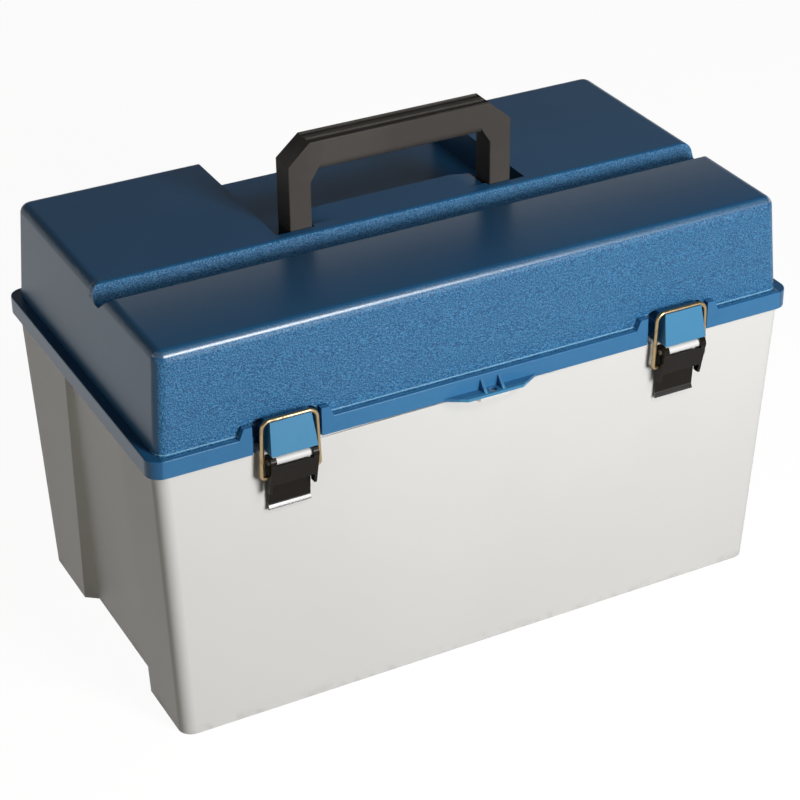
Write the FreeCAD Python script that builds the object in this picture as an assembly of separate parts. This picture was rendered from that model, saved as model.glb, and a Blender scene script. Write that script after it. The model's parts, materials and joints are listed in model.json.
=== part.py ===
import FreeCAD, Part
import math
import os

os.makedirs("parts", exist_ok=True)

# Fishing tackle cabinet. Millimetres, +Z up, +X to the right, the front looks along -Y.
# The origin is at the middle of the footprint, on the ground.
# Sizes called front or rear are distances from the origin along Y.

# Whole object
shell_wall = 3.0
overrun = 20.0
seat_gap = 0.3
side_gap = 0.6
running_gap = 0.05

# Body, which the base and the front cover share
parting_height = 256.0
body_top_half_width = 285.2
body_side_taper = 10.9
body_top_front = 154.9
body_front_taper = 9.0
body_rear_set_in = 2.4
body_rear_taper = 1.3
body_corner_radius = 12.0
cover_side_reach = 78.9

# Sunk panel in each side of the base
panel_foot_depth = 10.5
panel_top_front_depth = 0.8
panel_top_rear_depth = 4.0
panel_foot_rear_inset = 83.2
panel_top_rear_inset = 116.5
panel_step_run = 8.0

# Drawer bay in the base
bay_side_room = 15.8
bay_front_room = 11.9
cheek_thickness = 3.0
drawer_rows = 3
runner_width = 8.0
runner_thickness = 3.0
rack_panel_thickness = 3.0
rack_center_thickness = 4.0

# Front cover
cover_ledge_thickness = 3.0
cover_pull_room = 3.5
cover_flange_depth = 3.0

# Drawers
drawer_wall = 2.2
drawer_top_room = 3.7
drawer_front_thickness = 3.0
drawer_pull_reach = 4.0
drawer_pull_height = 9.0
drawer_pull_thickness = 2.5
divider_thickness = 1.8
divider_drop = 9.0
divider_slot_rib = 2.0
divider_place_shares = (0.32, 0.66)

# Bulk bin and lift-out tray
bin_height = 56.0
bin_wall = 2.5
bin_side_gap = 1.0
tray_height = 36.0
tray_top_drop = 6.0
tray_wall = 2.0
tray_flange_thickness = 2.0
tray_flange_reach = 1.4
tray_divider_shares = (0.34, 0.67)

# Lid
lid_height = 100.0
lid_side_inset = 1.8
lid_side_taper = 7.4
lid_front_inset = 2.2
lid_front_taper = 4.8
lid_rear_taper = 3.2
lid_corner_radius = 10.0
lid_front_fillet = 9.0
lid_side_fillet = 8.5
rim_side_overhang = 5.3
rim_front_overhang = 3.1
rim_height = 15.4
rim_corner_radius = 13.0
rim_edge_round = 1.0

# V groove across the lid
groove_rear_front = 20.0
groove_width = 32.0
groove_depth = 14.0
groove_rear_run = 5.5
groove_floor_width = 9.0
groove_floor_round = 2.6
groove_shoulder_round = 2.4

# Handle and its well in the lid, with a raised land between the handle's feet
handle_half_width = 101.8
handle_leg_width = 19.6
handle_rise = 73.0
handle_grip_height = 26.8
handle_front_front = 11.0
handle_depth = 24.0
handle_outer_chamfer_run = 20.0
handle_outer_chamfer_rise = 17.5
handle_inner_chamfer_run = 5.2
handle_inner_chamfer_rise = 8.2
handle_pivot_drop = 13.0
handle_end_set_in = 0.2
handle_channel_depth = 1.3
handle_channel_width = 7.0
handle_edge_round = 1.0
handle_grip_round = 8.0
handle_pin_radius = 3.0
handle_pin_inset = 5.5
handle_pin_outset = 2.6
well_side_room = 13.2
well_fold_room = 3.0
handle_foot_room = 1.5
land_rear = 20.5
land_ramp_width = 19.5
land_ramp_drop = 3.0
land_ramp_front_front = 8.0

# Hinge
hinge_rise = 6.0
hinge_side_inset = 115.2
knuckle_radius = 5.0
hinge_pin_radius = 2.5
lid_knuckle_width = 48.0
base_knuckle_width = 20.0
knuckle_gap = 0.3
hinge_pin_head_radius = 4.0
hinge_pin_head_thickness = 2.0
hinge_arm_drop = 18.0
hinge_arm_foot = 4.0

# Latches
latch_side_inset = 107.8
latch_reach = 13.5
latch_pivot_drop = 5.7
latch_pin_radius = 1.5
latch_pin_head_radius = 2.3
latch_pin_head_thickness = 0.8
latch_pin_depth = 4.0
lug_radius = 3.6
lug_neck_rise = 1.0
lever_half_width = 20.2
lever_bar_width = 4.7
lever_end_radius = 6.5
lever_plate_thickness = 2.5
lever_flange_thickness = 2.2
lever_flange_set_in = 6.4
lever_flange_reach = 8.6
lever_window_drop = 2.6
lever_step_drop = 21.1
lever_step_set_in = 4.8
lever_tongue_thickness = 2.4
lever_tongue_top_set_in = 8.3
lever_tongue_lean = 0.8
lever_lip_drop = 24.9
lever_lip_radius = 2.6
lever_lip_set_in = 1.3
catch_reach = 7.0
catch_rise = 28.3
catch_foot_rise = 1.6
catch_foot_side_inset = 0.5
catch_side_taper = 2.2
catch_wall = 2.5
catch_lip_thickness = 1.6
catch_lip_height = 1.7
bail_wire_radius = 1.8
bail_clearance = 0.4
bail_bar_rise = 2.2
bail_foot_drop = 15.7
bail_foot_set_in = 3.4
bail_top_side_room = 5.5
bail_foot_side_room = 4.4
bail_end_inset = 3.0
bail_corner_radius = 7.0
bail_hook_radius = 3.0
pocket_side_room = 2.8
pocket_rise = 26.3
pocket_corner_radius = 10.0
pocket_depth = 10.0
pocket_tab_width = 2.6
pocket_tab_height = 13.0
pocket_tab_set_in = 3.3
post_rise = 24.3
post_top_width = 6.8
post_foot_width = 10.6

# Padlock tab of the lid and ledge of the cover
tab_foot_half_width = 42.0
tab_front_half_width = 25.0
tab_reach = 10.3
tab_thickness = 2.5
gusset_place = 8.0
gusset_thickness = 2.4
gusset_height = 12.0
padlock_hole_reach = 4.6
padlock_hole_radius = 3.5
ledge_foot_half_width = 21.0
ledge_front_half_width = 13.0
ledge_set_in = 1.7
ledge_thickness = 3.2
ledge_drop = 0.8

# Places worked out for the body and what it holds
body_top = parting_height - seat_gap
body_foot_half_width = body_top_half_width - body_side_taper
body_foot_front = body_top_front - body_front_taper
body_top_rear = body_top_front - body_rear_set_in
body_foot_rear = body_top_rear - body_rear_taper
cover_split_front = body_top_front - cover_side_reach
panel_foot_rear = body_foot_rear - panel_foot_rear_inset
panel_top_rear = body_top_rear - panel_top_rear_inset
bay_half_width = body_foot_half_width - bay_side_room
bay_front = body_foot_front - bay_front_room
cover_clear_front = bay_front + drawer_pull_reach + cover_pull_room
tray_top = parting_height - tray_top_drop
rack_foot = shell_wall
rack_top = tray_top - tray_flange_thickness - seat_gap - bin_height
rack_rear = body_foot_rear - shell_wall - seat_gap
row_pitch = (rack_top - rack_foot - runner_thickness + seat_gap) / drawer_rows
drawer_height = row_pitch - runner_thickness - seat_gap - drawer_top_room
divider_height = drawer_height - divider_drop

# Places worked out for the lid and the handle
lid_top_height = parting_height + lid_height
lid_foot_half_width = body_top_half_width - lid_side_inset
lid_top_half_width = lid_foot_half_width - lid_side_taper
lid_foot_half_depth = body_top_front - lid_front_inset
lid_top_front = lid_foot_half_depth - lid_front_taper
lid_top_rear = lid_foot_half_depth - lid_rear_taper
rim_half_width = body_top_half_width + rim_side_overhang
rim_half_depth = body_top_front + rim_front_overhang
groove_front_front = groove_rear_front + groove_width
groove_floor_rear_front = groove_rear_front + groove_rear_run
groove_floor_front_front = groove_floor_rear_front + groove_floor_width
handle_top_height = lid_top_height + handle_rise
handle_pivot_height = lid_top_height - handle_pivot_drop
handle_middle = handle_depth / 2 - handle_front_front
handle_end_radius = handle_depth / 2 - handle_end_set_in
well_depth = handle_pivot_drop + handle_depth / 2 + well_fold_room
well_floor = lid_top_height - well_depth
well_half_width = handle_half_width + well_side_room
well_front_front = handle_front_front + handle_foot_room
land_half_width = handle_half_width - handle_leg_width - handle_foot_room
land_ramp_half_width = land_half_width - land_ramp_width

# Places worked out for the hinges, the latches and the padlock's eye
lever_front = rim_half_depth + latch_reach
hinge_rear = lever_front - knuckle_radius
hinge_height = parting_height + hinge_rise
hinge_place = body_top_half_width - hinge_side_inset
latch_place = body_top_half_width - latch_side_inset
latch_pivot_front = lever_front - lever_end_radius
latch_pivot_height = parting_height - latch_pivot_drop
lug_half_width = lever_half_width - lever_flange_thickness - seat_gap
lug_bore_end = lug_half_width - latch_pin_depth
lever_flange_rear_front = latch_pivot_front - lever_flange_set_in
lever_window_foot_height = latch_pivot_height - lever_window_drop
lever_step_height = latch_pivot_height - lever_step_drop
lever_step_front = lever_front - lever_step_set_in
lever_flange_foot_height = lever_step_height - lever_flange_reach
lever_face_drop = latch_pivot_height - lever_flange_foot_height
lever_flange_foot_front = lever_front - lever_step_set_in * lever_face_drop / lever_step_drop
lever_tongue_half_width = lever_half_width - lever_flange_thickness
lever_tongue_top_front = lever_step_front - lever_tongue_top_set_in
lever_tongue_foot_front = lever_tongue_top_front - lever_tongue_lean
lever_lip_height = lever_step_height - lever_lip_drop
lever_lip_front = lever_tongue_foot_front - lever_lip_set_in
catch_front = rim_half_depth + catch_reach
catch_top_height = parting_height + catch_rise
catch_foot_height = parting_height + catch_foot_rise
catch_foot_half_width = lever_half_width - catch_foot_side_inset
catch_top_half_width = catch_foot_half_width - catch_side_taper
catch_seat_height = catch_top_height - catch_lip_height
bail_bar_height = catch_top_height + bail_bar_rise
bail_bar_front = catch_front + bail_clearance + bail_wire_radius
bail_foot_height = latch_pivot_height - bail_foot_drop
bail_foot_front = latch_pivot_front - bail_foot_set_in
bail_top_half_width = catch_top_half_width + bail_top_side_room
bail_foot_half_width = lever_half_width + bail_foot_side_room
bail_end_half_width = lever_half_width - bail_end_inset
pocket_half_width = bail_foot_half_width + bail_wire_radius + pocket_side_room
pocket_top_height = parting_height + pocket_rise
pocket_front = lid_foot_half_depth - pocket_depth
post_top_height = parting_height + post_rise
post_top_half_width = pocket_half_width + post_top_width
post_foot_half_width = pocket_half_width + post_foot_width
tab_front = rim_half_depth + tab_reach
padlock_hole_front = rim_half_depth + padlock_hole_reach
ledge_front = tab_front - ledge_set_in


def vector(x, y, z):
    return FreeCAD.Vector(x, y, z)


def box(x0, x1, y0, y1, z0, z1):
    return Part.makeBox(x1 - x0, y1 - y0, z1 - z0, vector(x0, y0, z0))


def rod_along_x(x0, x1, y, z, radius):
    return Part.makeCylinder(radius, x1 - x0, vector(x0, y, z), vector(1, 0, 0))


def rod_along_z(x, y, z0, z1, radius):
    return Part.makeCylinder(radius, z1 - z0, vector(x, y, z0), vector(0, 0, 1))


def prism(points, travel):
    outline = Part.makePolygon(points + [points[0]])
    return Part.Face(outline).extrude(travel)


def prism_along_x(points, x0, x1):
    return prism([vector(x0, y, z) for y, z in points], vector(x1 - x0, 0, 0))


def prism_along_y(points, y0, y1):
    return prism([vector(x, y0, z) for x, z in points], vector(0, y1 - y0, 0))


def prism_along_z(points, z0, z1):
    return prism([vector(x, y, z0) for x, y in points], vector(0, 0, z1 - z0))


def join(shapes):
    whole = shapes[0].multiFuse(shapes[1:]) if len(shapes) > 1 else shapes[0]
    return whole.removeSplitter()


def take(shape, cutters):
    return shape.cut(Part.makeCompound(cutters))


def mirrored(shape):
    return shape.mirror(vector(0, 0, 0), vector(1, 0, 0))


def edges_where(shape, wanted):
    return [edge for edge in shape.Edges if wanted(edge)]


def rounded_rectangle(half_width, front, rear, height, radius):
    # A closed outline of four lines and four quarter arcs, which starts at the front left.
    dip = radius * (1 - 0.5 ** 0.5)
    corners = ((-1, front, -1), (1, front, -1), (1, rear, 1), (-1, rear, 1))
    arcs = []
    for side, reach, way in corners:
        x = side * half_width
        y = way * reach
        before = vector(x, y - way * radius, height)
        after = vector(x - side * radius, y, height)
        middle = vector(x - side * dip, y - way * dip, height)
        if side * way < 0:
            before, after = after, before
        arcs.append((before, middle, after))
    edges = []
    for index, (start, middle, end) in enumerate(arcs):
        edges.append(Part.Arc(start, middle, end).toShape())
        edges.append(Part.makeLine(end, arcs[(index + 1) % len(arcs)][0]))
    return Part.Wire(edges)


def tapered_block(foot, top, foot_height, top_height, radius):
    # foot and top each hold a half width, a front reach and a rear reach.
    lower = rounded_rectangle(foot[0], foot[1], foot[2], foot_height, radius)
    upper = rounded_rectangle(top[0], top[1], top[2], top_height, radius)
    return Part.makeLoft([lower, upper], True, True)


def body_reach(foot_value, top_value, height):
    return foot_value + (top_value - foot_value) * height / parting_height


def body_block(inset, foot_height, top_height):
    # The tapered outside of the body, or the same form drawn in by the inset.
    pairs = (
        (body_foot_half_width, body_top_half_width),
        (body_foot_front, body_top_front),
        (body_foot_rear, body_top_rear),
    )
    foot = [body_reach(low, high, foot_height) - inset for low, high in pairs]
    top = [body_reach(low, high, top_height) - inset for low, high in pairs]
    return tapered_block(foot, top, foot_height, top_height, body_corner_radius - inset)


def side_panel_cutter(inset, foot_height, top_height):
    # The sunk panel on the right side, or the same form grown by the inset.
    outlines = []
    for height in (foot_height, top_height):
        outside = body_reach(body_foot_half_width, body_top_half_width, height)
        front_depth = body_reach(panel_foot_depth, panel_top_front_depth, height)
        rear_depth = body_reach(panel_foot_depth, panel_top_rear_depth, height)
        rear = body_reach(panel_foot_rear, panel_top_rear, height)
        run = panel_step_run * (overrun + rear_depth) / panel_foot_depth
        outlines.append(Part.makePolygon([
            vector(outside + overrun, -cover_split_front - inset, height),
            vector(outside + overrun, rear + inset + run, height),
            vector(outside - rear_depth - inset, rear + inset, height),
            vector(outside - front_depth - inset, -cover_split_front - inset, height),
            vector(outside + overrun, -cover_split_front - inset, height),
        ]))
    return Part.makeLoft(outlines, True, True)


def hinge_knuckle(x0, x1):
    return rod_along_x(x0, x1, hinge_rear, hinge_height, knuckle_radius)


def base_hinge_arms():
    # Two arms on each side of the lid's knuckle, from the rear wall up to the pin.
    pieces = []
    arm_top = parting_height - side_gap
    wall_rear = body_top_rear - shell_wall
    arm = [
        (wall_rear, arm_top),
        (wall_rear, arm_top - hinge_arm_drop),
        (body_top_rear + hinge_arm_foot, arm_top - hinge_arm_drop),
        (hinge_rear + knuckle_radius, arm_top),
        (hinge_rear + knuckle_radius, hinge_height),
        (hinge_rear - knuckle_radius, hinge_height),
        (hinge_rear - knuckle_radius, arm_top),
    ]
    offset = lid_knuckle_width / 2 + knuckle_gap
    for place in (-hinge_place, hinge_place):
        for x0 in (place - offset - base_knuckle_width, place + offset):
            x1 = x0 + base_knuckle_width
            pieces.append(prism_along_x(arm, x0, x1))
            pieces.append(hinge_knuckle(x0, x1))
    return pieces


def hinge_bores(radius):
    reach = lid_knuckle_width / 2 + knuckle_gap + base_knuckle_width + overrun
    return [
        rod_along_x(place - reach, place + reach, hinge_rear, hinge_height, radius)
        for place in (-hinge_place, hinge_place)
    ]


def base_shell():
    outside = body_block(0, 0, body_top)
    inside = body_block(shell_wall, shell_wall, body_top + overrun)
    panels = side_panel_cutter(0, -overrun, body_top + overrun)
    grown = side_panel_cutter(shell_wall, -overrun, body_top + overrun + overrun)
    outside = take(outside, [panels, mirrored(panels)])
    inside = take(inside, [grown, mirrored(grown)])
    half = body_top_half_width + overrun
    split = -cover_split_front + side_gap
    front = box(-half, half, -body_top_front - overrun, split, -overrun, body_top + overrun)
    wall_front = split + shell_wall
    outside = outside.cut(front)
    jog = box(-half, half, split - overrun, wall_front, -overrun, body_top + overrun + overrun)
    tub = outside.cut(inside.cut(jog))
    bay_outer = bay_half_width + cheek_thickness
    bay = box(-bay_outer, bay_outer, -bay_front, wall_front, 0, body_top)
    room = box(
        -bay_half_width, bay_half_width, -bay_front - overrun, wall_front + overrun,
        shell_wall, body_top + overrun)
    way = box(
        -bay_half_width, bay_half_width, split - overrun, wall_front + overrun,
        shell_wall, body_top + overrun)
    whole = join([tub.cut(way), bay.cut(room)] + base_hinge_arms())
    return take(whole, hinge_bores(hinge_pin_radius))


def front_cover():
    half = body_top_half_width + overrun
    split = -cover_split_front
    outside = body_block(0, 0, body_top)
    outside = outside.cut(box(-half, half, split, body_top_rear + overrun, -overrun, body_top + overrun))
    hollow = body_block(shell_wall, -overrun, body_top - cover_ledge_thickness)
    hollow = hollow.cut(box(
        -half, half, split - cover_flange_depth, body_top_rear + overrun,
        -overrun - overrun, body_top + overrun))
    clear_half = bay_half_width + cheek_thickness + side_gap
    passage = box(
        -clear_half, clear_half, -cover_clear_front, split + overrun, -overrun, body_top + overrun)
    cover = take(outside, [hollow, passage])
    cover = join([cover] + latch_lugs() + [padlock_ledge()])
    cutters = latch_pin_bores(latch_pin_radius)
    cutters.append(padlock_hole())
    return take(cover, cutters)


def latch_lugs():
    # A barrel on the cover's face inside each lever, which shows through the lever's window.
    wall = -body_reach(body_foot_front, body_top_front, latch_pivot_height) + shell_wall / 2
    pieces = []
    for place in (-latch_place, latch_place):
        x0 = place - lug_half_width
        x1 = place + lug_half_width
        pieces.append(rod_along_x(x0, x1, -latch_pivot_front, latch_pivot_height, lug_radius))
        pieces.append(box(
            x0, x1, -latch_pivot_front, wall,
            latch_pivot_height - lug_radius, latch_pivot_height + lug_neck_rise))
    return pieces


def latch_pin_bores(radius):
    # Blind holes for the pins, from both ends of each barrel.
    reach = lever_half_width + overrun
    rods = []
    for place in (-latch_place, latch_place):
        for x0, x1 in ((place - reach, place - lug_bore_end), (place + lug_bore_end, place + reach)):
            rods.append(rod_along_x(x0, x1, -latch_pivot_front, latch_pivot_height, radius))
    return rods


def padlock_hole():
    return rod_along_z(
        0, -padlock_hole_front, parting_height - overrun, parting_height + overrun,
        padlock_hole_radius)


def padlock_ledge():
    top = parting_height - ledge_drop
    foot = top - ledge_thickness
    root = -body_reach(body_foot_front, body_top_front, foot) + shell_wall / 2
    outline = [
        (-ledge_foot_half_width, root), (-ledge_foot_half_width, -body_top_front),
        (-ledge_front_half_width, -ledge_front), (ledge_front_half_width, -ledge_front),
        (ledge_foot_half_width, -body_top_front), (ledge_foot_half_width, root),
    ]
    return prism_along_z(outline, foot, top)


def runner_heights():
    return [rack_foot + row * row_pitch for row in range(drawer_rows)]


def rack_side():
    # The right side panel of the rack, with one runner for each row.
    inner = bay_half_width - rack_panel_thickness
    pieces = [box(inner, bay_half_width, -bay_front, rack_rear, rack_foot, rack_top)]
    for height in runner_heights():
        pieces.append(box(
            inner - runner_width, inner, -bay_front, rack_rear,
            height, height + runner_thickness))
    return join(pieces)


def rack_center():
    half = rack_center_thickness / 2
    reach = half + runner_width
    pieces = [box(-half, half, -bay_front, rack_rear, rack_foot, rack_top)]
    for height in runner_heights():
        pieces.append(box(-reach, reach, -bay_front, rack_rear, height, height + runner_thickness))
    return join(pieces)


def drawer_span():
    # The left and right faces of the drawer in the right-hand column.
    left = rack_center_thickness / 2 + side_gap
    right = bay_half_width - rack_panel_thickness - side_gap
    return left, right


def divider_places():
    left, right = drawer_span()
    return [left + (right - left) * share for share in divider_place_shares]


def drawer(row):
    # A drawer of the right-hand column.
    left, right = drawer_span()
    foot = runner_heights()[row] + runner_thickness + seat_gap
    top = foot + drawer_height
    front = -bay_front
    rear = rack_rear - side_gap
    outside = box(left, right, front, rear, foot, top)
    inside = box(
        left + drawer_wall, right - drawer_wall, front + drawer_front_thickness,
        rear - drawer_wall, foot + drawer_wall, top + overrun)
    pull = box(
        left, right, front - drawer_pull_reach, front + drawer_wall,
        top - drawer_pull_thickness, top)
    lip = box(
        left, right, front - drawer_pull_reach, front - drawer_pull_reach + drawer_wall,
        top - drawer_pull_height, top)
    pieces = [outside.cut(inside), pull, lip]
    # Slotted ribs at the front and rear that hold the dividers.
    slots = []
    for place in divider_places():
        half = divider_thickness / 2 + running_gap
        reach = half + divider_slot_rib
        for y0 in (front + drawer_front_thickness, rear - drawer_wall - divider_slot_rib):
            y1 = y0 + divider_slot_rib
            rib = box(place - reach, place + reach, y0, y1, foot + drawer_wall, foot + divider_height)
            slot = box(place - half, place + half, y0, y1, foot + drawer_wall, top)
            pieces.append(rib)
            slots.append(slot)
    return take(join(pieces), slots)


def drawer_dividers(row):
    foot = runner_heights()[row] + runner_thickness + seat_gap + drawer_wall
    front = -bay_front + drawer_front_thickness + running_gap
    rear = rack_rear - side_gap - drawer_wall - running_gap
    half = divider_thickness / 2
    return Part.makeCompound([
        box(place - half, place + half, front, rear, foot, foot + divider_height - drawer_wall)
        for place in divider_places()
    ])


def bin_reach():
    # Half width, front and rear of the bin's outside.
    return bay_half_width - bin_side_gap, bay_front + cheek_thickness, rack_rear - side_gap


def bulk_bin():
    half, front, rear = bin_reach()
    top = rack_top + bin_height
    outside = box(-half, half, -front, rear, rack_top, top)
    inside = box(
        -half + bin_wall, half - bin_wall, -front + bin_wall, rear - bin_wall,
        rack_top + bin_wall, top + overrun)
    return outside.cut(inside)


def tray_room():
    half, front, rear = bin_reach()
    inset = bin_wall + side_gap
    return half - inset, front - inset, rear - inset, tray_top


def lift_tray():
    half, front, rear, top = tray_room()
    foot = top - tray_height
    flange_foot = top - tray_flange_thickness
    outside = box(-half, half, -front, rear, foot, top)
    flange = box(
        -half - tray_flange_reach, half + tray_flange_reach,
        -front - tray_flange_reach, rear + tray_flange_reach, flange_foot, top)
    inside = box(
        -half + tray_wall, half - tray_wall, -front + tray_wall, rear - tray_wall,
        foot + tray_wall, top + overrun)
    return join([outside, flange]).cut(inside)


def tray_dividers():
    half, front, rear, top = tray_room()
    foot = top - tray_height + tray_wall
    places = [-half + 2 * half * share for share in tray_divider_shares]
    return Part.makeCompound([
        box(
            place - divider_thickness / 2, place + divider_thickness / 2,
            -front + tray_wall, rear - tray_wall, foot, top - tray_flange_thickness)
        for place in places
    ])


def lid_reach(foot_value, top_value, height):
    share = (height - parting_height) / (lid_top_height - parting_height)
    return foot_value + (top_value - foot_value) * share


def lid_block(inset, foot_height, top_height):
    pairs = (
        (lid_foot_half_width, lid_top_half_width),
        (lid_foot_half_depth, lid_top_front),
        (lid_foot_half_depth, lid_top_rear),
    )
    foot = [lid_reach(low, high, foot_height) - inset for low, high in pairs]
    top = [lid_reach(low, high, top_height) - inset for low, high in pairs]
    return tapered_block(foot, top, foot_height, top_height, lid_corner_radius - inset)


def on_top(edge, height):
    box_of_edge = edge.BoundBox
    return abs(box_of_edge.ZMin - height) < seat_gap and abs(box_of_edge.ZMax - height) < seat_gap


def top_edge_rounding(edge_front, lean, radius):
    # What a round edge takes away where the lid's top meets a face that looks forwards.
    # The lean is how far that face comes forwards for each unit of fall.
    half = lid_foot_half_width + overrun
    slope = (1 + lean ** 2) ** 0.5
    middle = radius * (slope - lean) - edge_front
    height = lid_top_height - radius
    touch = height + radius * lean / slope
    corner = box(-half, half, -edge_front - overrun, middle, touch, lid_top_height + overrun)
    return corner.cut(rod_along_x(-half, half, middle, height, radius))


def front_edge_rounding():
    lean = (lid_foot_half_depth - lid_top_front) / (lid_top_height - parting_height)
    return top_edge_rounding(lid_top_front, lean, lid_front_fillet)


def groove_edge_rounding():
    lean = (groove_floor_rear_front - groove_rear_front) / groove_depth
    return top_edge_rounding(groove_rear_front, lean, groove_shoulder_round)


def rounded_lid_block():
    block = lid_block(0, parting_height, lid_top_height)

    def runs_along_top(edge):
        return on_top(edge, lid_top_height)

    block = block.makeFillet(lid_side_fillet, edges_where(block, runs_along_top))
    return block.cut(front_edge_rounding())


def groove_cutter(inset):
    # The V groove's section: a steep rear wall, a rounded floor and a long front slope.
    top = lid_top_height + overrun
    half = lid_foot_half_width + overrun
    floor = lid_top_height - groove_depth - inset
    rear = -groove_rear_front + inset
    outline = [
        (rear, top),
        (rear, lid_top_height),
        (-groove_floor_rear_front + inset, floor),
        (-groove_floor_front_front - inset, floor),
        (-groove_front_front - inset, lid_top_height),
        (-groove_front_front - inset, top),
    ]
    cutter = prism_along_x(outline, -half, half)

    def runs_along_floor(edge):
        return on_top(edge, floor) and edge.BoundBox.XLength > half

    return cutter.makeFillet(groove_floor_round, edges_where(cutter, runs_along_floor))


def well_cutter(inset):
    # The handle's well, open to the rear, with a raised land between the handle's feet.
    top = lid_top_height + overrun
    half = well_half_width + inset
    floor = well_floor - inset
    whole = box(
        -half, half, -well_front_front - inset, lid_top_rear + overrun + overrun, floor, top)
    land_half = land_half_width - inset
    land = box(
        -land_half, land_half, -well_front_front - overrun, land_rear - inset,
        floor - overrun, top + overrun)
    return whole.cut(land)


def land_ramps():
    # Shallow ramps on top of the land, beside each foot of the handle.
    pieces = []
    outline = [
        (land_ramp_half_width, lid_top_height),
        (land_half_width, lid_top_height - land_ramp_drop),
        (land_half_width, lid_top_height + land_ramp_drop),
        (land_ramp_half_width, lid_top_height + land_ramp_drop),
    ]
    ramp = prism_along_y(outline, -land_ramp_front_front, land_rear)
    pieces += [ramp, mirrored(ramp)]
    return pieces


def rim_band():
    reach = (rim_half_width, rim_half_depth, rim_half_depth)
    band = tapered_block(
        reach, reach, parting_height, parting_height + rim_height, rim_corner_radius)

    def runs_along_top(edge):
        return on_top(edge, parting_height + rim_height)

    return band.makeFillet(rim_edge_round, edges_where(band, runs_along_top))


def latch_posts(place):
    # Raised stretches of the rim at both sides of a latch pocket.
    root = -lid_foot_half_depth + shell_wall
    pieces = []
    for side in (-1, 1):
        outline = [
            (place + side * pocket_half_width, parting_height),
            (place + side * post_foot_half_width, parting_height),
            (place + side * post_foot_half_width, parting_height + rim_height),
            (place + side * post_top_half_width, post_top_height),
            (place + side * pocket_half_width, post_top_height),
        ]
        pieces.append(prism_along_y(outline, -rim_half_depth, root))
    return pieces


def latch_pocket(place):
    # The recess round a latch, with rounded upper corners.
    room = box(
        place - pocket_half_width, place + pocket_half_width, -rim_half_depth - overrun,
        -pocket_front, parting_height - overrun, pocket_top_height)

    def runs_along_upper_corner(edge):
        bounds = edge.BoundBox
        return on_top(edge, pocket_top_height) and bounds.XLength < seat_gap

    return room.makeFillet(pocket_corner_radius, edges_where(room, runs_along_upper_corner))


def pocket_tabs(place):
    # A small upright tab at each side of the recess, behind the front of the rim.
    pieces = []
    for x0 in (place - pocket_half_width, place + pocket_half_width - pocket_tab_width):
        pieces.append(box(
            x0, x0 + pocket_tab_width, -rim_half_depth + pocket_tab_set_in, -pocket_front,
            parting_height, parting_height + pocket_tab_height))
    return pieces


def pocket_backing(place):
    half = pocket_half_width + shell_wall
    return box(
        place - half, place + half, -lid_foot_half_depth + shell_wall, -pocket_front + shell_wall,
        parting_height, pocket_top_height + shell_wall)


def latch_catch(place):
    # The block that the bail passes over: wide at the foot, hollow from below.
    outline = [
        (place - catch_foot_half_width, catch_foot_height),
        (place + catch_foot_half_width, catch_foot_height),
        (place + catch_top_half_width, catch_top_height),
        (place - catch_top_half_width, catch_top_height),
    ]
    block = prism_along_y(outline, -catch_front, -pocket_front)
    hollow = box(
        place - catch_top_half_width + catch_wall, place + catch_top_half_width - catch_wall,
        -catch_front + catch_wall, -pocket_front - catch_wall,
        catch_foot_height - overrun, catch_seat_height - catch_wall)
    seat = box(
        place - catch_foot_half_width, place + catch_foot_half_width,
        -catch_front + catch_lip_thickness, -pocket_front, catch_seat_height,
        catch_top_height + overrun)
    return take(block, [hollow, seat])


def padlock_tab():
    foot = parting_height
    top = foot + tab_thickness
    root = -lid_foot_half_depth
    outline = [
        (-tab_foot_half_width, root), (-tab_foot_half_width, -rim_half_depth),
        (-tab_front_half_width, -tab_front), (tab_front_half_width, -tab_front),
        (tab_foot_half_width, -rim_half_depth), (tab_foot_half_width, root),
    ]
    pieces = [prism_along_z(outline, foot, top)]
    gusset = [
        (-rim_half_depth, foot), (-tab_front + tab_thickness / 2, foot),
        (-tab_front + tab_thickness / 2, top), (-rim_half_depth, foot + gusset_height),
    ]
    for place in (-gusset_place, gusset_place):
        half = gusset_thickness / 2
        pieces.append(prism_along_x(gusset, place - half, place + half))
    return pieces


def lid_hinge_arms():
    pieces = []
    half = lid_knuckle_width / 2
    root = rim_half_depth - shell_wall
    arm = [
        (root, hinge_height - knuckle_radius), (hinge_rear, hinge_height - knuckle_radius),
        (hinge_rear, hinge_height + knuckle_radius), (root, hinge_height + knuckle_radius),
    ]
    for place in (-hinge_place, hinge_place):
        pieces.append(prism_along_x(arm, place - half, place + half))
        pieces.append(hinge_knuckle(place - half, place + half))
    return pieces


def handle_pin_ends():
    # The inner and outer end of the right-hand pin.
    return land_half_width - handle_pin_inset, well_half_width + handle_pin_outset


def handle_pin(radius, start, end):
    return rod_along_x(start, end, handle_middle, handle_pivot_height, radius)


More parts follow.
